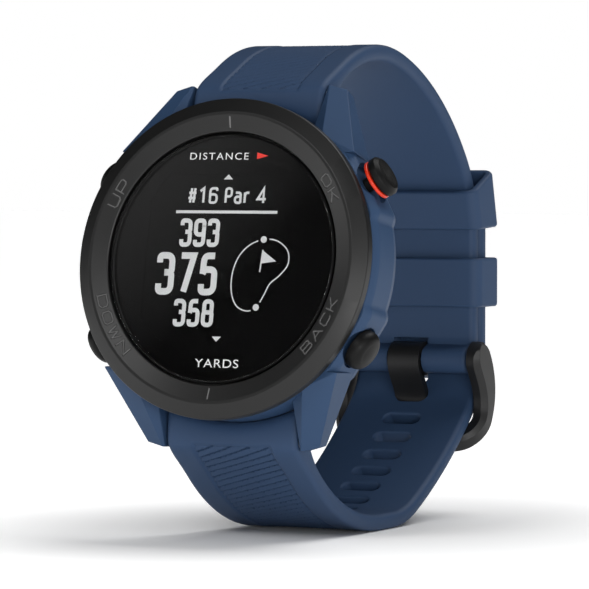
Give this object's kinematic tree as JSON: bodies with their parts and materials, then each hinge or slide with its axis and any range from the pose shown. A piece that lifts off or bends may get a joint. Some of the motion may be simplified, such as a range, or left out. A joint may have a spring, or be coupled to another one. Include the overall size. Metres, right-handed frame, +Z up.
{
  "type": "golf gps watch",
  "caption": "Round golf GPS watch with faceted lugs, side buttons, a silicone strap closed in a loop by a prong buckle, and sliding keepers.",
  "frame": {"origin": "centre of the bounding box's base, which is the level stretch of the strap the watch stands on", "axes": "+Z up, +X towards 3 o'clock, the display looks along -Y and leans back 10 degrees"},
  "size_m": [0.0444, 0.0712, 0.0681],
  "materials": {
    "blue_silicone": "matt moulded silicone",
    "blue_case": "satin",
    "black_bezel": "satin",
    "black_plastic": "satin",
    "black_metal": "satin black coating",
    "glass": "polished",
    "seal_rubber": "matt",
    "adhesive": "matt",
    "display": "glossy",
    "backlight": "satin",
    "flex": "satin",
    "board": "satin",
    "steel": "brushed",
    "ceramic": "matt sintered",
    "battery_foil": "satin",
    "gold": "gold plated",
    "orange_ring": "glossy"
  },
  "bodies": {
    "watch": {"bezel_ring": "black_bezel", "front_lens": "glass", "lens_adhesive": "adhesive", "display_panel": "display", "backlight_plate": "backlight", "display_flex": "flex", "mid_case": "blue_case", "inner_chassis": "black_plastic", "main_board": "board", "shield_can": "steel", "gps_antenna": "ceramic", "battery": "battery_foil", "ok_switch": "black_plastic", "back_switch": "black_plastic", "up_switch": "black_plastic", "down_switch": "black_plastic", "rear_cover": "black_plastic", "rear_seal": "seal_rubber", "cover_screw_1": "steel", "cover_screw_2": "steel", "cover_screw_3": "steel", "cover_screw_4": "steel", "contact_block": "black_plastic", "charge_contact_1": "gold", "charge_contact_2": "gold", "charge_contact_3": "gold", "charge_contact_4": "gold", "upper_spring_bar": "steel", "lower_spring_bar": "steel", "strap_upper": "blue_silicone", "strap_lower": "blue_silicone", "buckle_bar": "steel"},
    "ok_button_body": {"ok_button": "black_plastic", "ok_button_seal": "seal_rubber", "ok_button_clip": "steel", "ok_accent_ring": "orange_ring"},
    "back_button_body": {"back_button": "black_plastic", "back_button_seal": "seal_rubber", "back_button_clip": "steel"},
    "up_button_body": {"up_button": "black_plastic", "up_button_seal": "seal_rubber", "up_button_clip": "steel"},
    "down_button_body": {"down_button": "black_plastic", "down_button_seal": "seal_rubber", "down_button_clip": "steel"},
    "upper_pin_body": {"upper_release_pin": "steel"},
    "lower_pin_body": {"lower_release_pin": "steel"},
    "lower_keeper_body": {"keeper_lower": "blue_silicone"},
    "upper_keeper_body": {"keeper_upper": "blue_silicone"},
    "buckle_frame_body": {"buckle_frame": "black_metal"},
    "buckle_prong_body": {"buckle_prong": "black_metal"}
  },
  "joints": [
    {"name": "ok_press", "type": "slide", "parent": "watch", "child": "ok_button_body", "axis": [-0.866, -0.0864, -0.4925], "range_m": [0, 0.0006], "stiffness_N_per_m": 1500, "springref_m": -0.0004},
    {"name": "back_press", "type": "slide", "parent": "watch", "child": "back_button_body", "axis": [-0.866, 0.0864, 0.4925], "range_m": [0, 0.0006], "stiffness_N_per_m": 1500, "springref_m": -0.0004},
    {"name": "up_press", "type": "slide", "parent": "watch", "child": "up_button_body", "axis": [0.866, -0.0864, -0.4925], "range_m": [0, 0.0006], "stiffness_N_per_m": 1500, "springref_m": -0.0004},
    {"name": "down_press", "type": "slide", "parent": "watch", "child": "down_button_body", "axis": [0.866, 0.0864, 0.4925], "range_m": [0, 0.0006], "stiffness_N_per_m": 1500, "springref_m": -0.0004},
    {"name": "upper_pin_release", "type": "slide", "parent": "watch", "child": "upper_pin_body", "axis": [-1, 0, 0], "range_m": [0, 0.0016], "stiffness_N_per_m": 600, "springref_m": -0.001},
    {"name": "lower_pin_release", "type": "slide", "parent": "watch", "child": "lower_pin_body", "axis": [-1, 0, 0], "range_m": [0, 0.0016], "stiffness_N_per_m": 600, "springref_m": -0.001},
    {"name": "lower_keeper_slide", "type": "slide", "parent": "watch", "child": "lower_keeper_body", "axis": [0, 0, 1], "range_m": [-0.0025, 0.0025]},
    {"name": "upper_keeper_slide_round_curve", "type": "hinge", "parent": "watch", "child": "upper_keeper_body", "pos_m": [-0.00038, 0.01284, 0.04096], "axis": [1, 0, 0], "range_deg": [-2.5, 3.5]},
    {"name": "buckle_frame_pivot", "type": "hinge", "parent": "watch", "child": "buckle_frame_body", "pos_m": [-0.00038, 0.02844, 0.02266], "axis": [1, 0, 0], "range_deg": [-1, 0.4]},
    {"name": "buckle_prong_pivot", "type": "hinge", "parent": "watch", "child": "buckle_prong_body", "pos_m": [-0.00038, 0.02844, 0.02266], "axis": [1, 0, 0], "range_deg": [-0.4, 1]}
  ]
}
